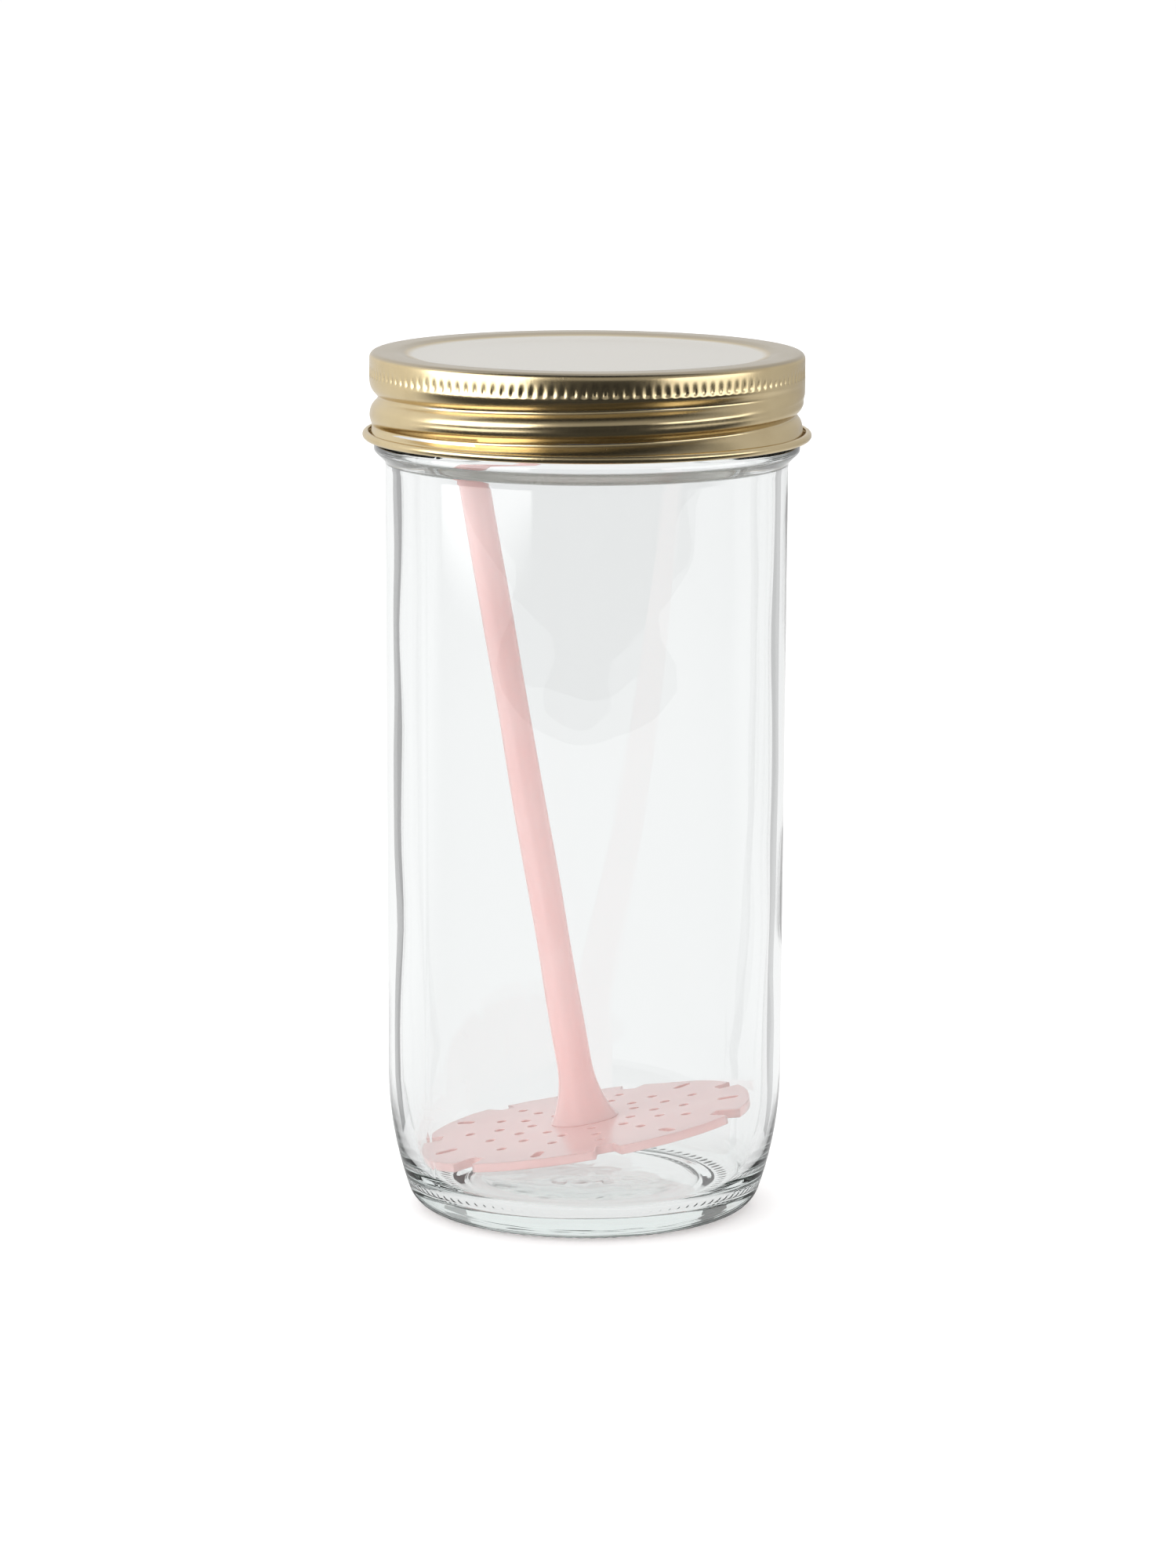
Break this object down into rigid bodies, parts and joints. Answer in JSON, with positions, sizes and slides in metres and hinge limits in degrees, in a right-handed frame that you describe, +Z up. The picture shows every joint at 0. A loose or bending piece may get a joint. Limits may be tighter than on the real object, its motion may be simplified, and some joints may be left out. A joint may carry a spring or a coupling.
{
  "type": "mason jar",
  "caption": "Wide-mouth clear glass mason jar with a gold one-piece screw lid and a loose pink pickle lifter leaning inside.",
  "frame": {"origin": "centre of the jar's bearing ring, at the bottom", "axes": "+Z up along the jar's axis, out through the mouth; the lifter leans with its handle towards -X and slightly towards +Y, away from the front"},
  "size_m": [0.0914, 0.0914, 0.1774],
  "materials": {
    "clear_glass": "polished",
    "gold_tinplate": "satin gold lacquer",
    "liner_rubber": "matte",
    "pink_plastic": "soft gloss"
  },
  "bodies": {
    "jar": {"jar": "clear_glass"},
    "lid_seal": {"lid_seal": "liner_rubber"},
    "lid": {"lid_shell": "gold_tinplate"},
    "lifter": {"lifter_plate": "pink_plastic", "lifter_handle": "pink_plastic"}
  },
  "joints": [
    {"name": "lid_rise", "type": "slide", "parent": "jar", "child": "lid_seal", "axis": [0, 0, 1], "range_m": [0, 0.0191]},
    {"name": "lid_turn", "type": "hinge", "parent": "lid_seal", "child": "lid", "pos_m": [0, 0, 0.17], "axis": [0, 0, 1], "range_deg": [0, 1080]},
    {"name": "lifter_lift", "type": "slide", "parent": "jar", "child": "lifter", "axis": [0, 0, 1], "range_m": [0, 0.0155]}
  ],
  "couplings": [
    {"joint": "lid_rise", "follows": "lid_turn", "m_per_rad": 0.0010106}
  ]
}
